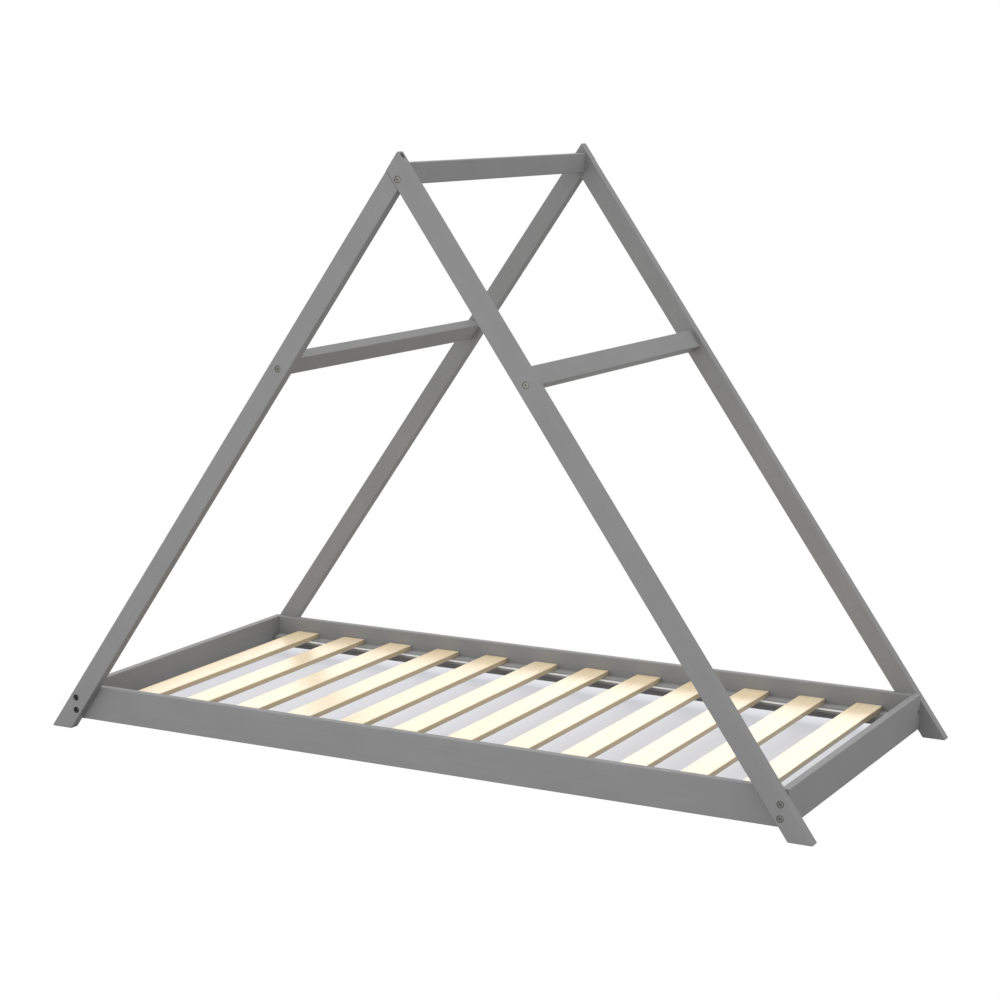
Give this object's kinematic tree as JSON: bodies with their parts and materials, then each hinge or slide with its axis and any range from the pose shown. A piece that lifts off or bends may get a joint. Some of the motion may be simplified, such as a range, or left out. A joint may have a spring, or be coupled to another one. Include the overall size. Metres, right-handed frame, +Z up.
{
  "type": "house bed",
  "caption": "Low slatted child's bed frame standing inside two grey timber A-frames that a ridge beam and cross beams join into an open tent shape.",
  "frame": {"origin": "middle of the footprint, on the floor", "axes": "+X along the bed to the viewer's right, +Y from the front A-frame to the rear one, +Z up"},
  "size_m": [2.078, 1, 1.4872],
  "materials": {
    "grey_painted_wood": "satin paint",
    "lacquered_pine": "clear lacquer",
    "woven_tape": "woven",
    "dark_steel": "blackened",
    "zinc_plated_steel": "zinc plated",
    "beech_dowel": "bare"
  },
  "bodies": {
    "bed_frame": {"front_right_leg": "grey_painted_wood", "front_left_leg": "grey_painted_wood", "rear_left_leg": "grey_painted_wood", "rear_right_leg": "grey_painted_wood", "ridge_beam": "grey_painted_wood", "left_cross_beam": "grey_painted_wood", "right_cross_beam": "grey_painted_wood", "front_side_rail": "grey_painted_wood", "rear_side_rail": "grey_painted_wood", "left_end_rail": "grey_painted_wood", "right_end_rail": "grey_painted_wood", "front_slat_ledge": "grey_painted_wood", "rear_slat_ledge": "grey_painted_wood", "left_foot_screws": "dark_steel", "end_rail_screws": "dark_steel", "apex_screws": "dark_steel", "right_foot_screws": "zinc_plated_steel", "left_beam_screws": "zinc_plated_steel", "right_beam_screws": "zinc_plated_steel", "ridge_screws": "zinc_plated_steel", "ledge_screws": "zinc_plated_steel", "beam_dowels": "beech_dowel", "rail_dowels": "beech_dowel", "apex_dowels": "beech_dowel"},
    "slat_roll": {"slat_01": "lacquered_pine", "slat_02": "lacquered_pine", "slat_03": "lacquered_pine", "slat_04": "lacquered_pine", "slat_05": "lacquered_pine", "slat_06": "lacquered_pine", "slat_07": "lacquered_pine", "slat_08": "lacquered_pine", "slat_09": "lacquered_pine", "slat_10": "lacquered_pine", "slat_11": "lacquered_pine", "slat_12": "lacquered_pine", "front_slat_tape": "woven_tape", "rear_slat_tape": "woven_tape"}
  },
  "joints": [
    {"name": "slat_roll_lift", "type": "slide", "parent": "bed_frame", "child": "slat_roll", "axis": [0, 0, 1], "range_m": [0, 0.2]}
  ]
}
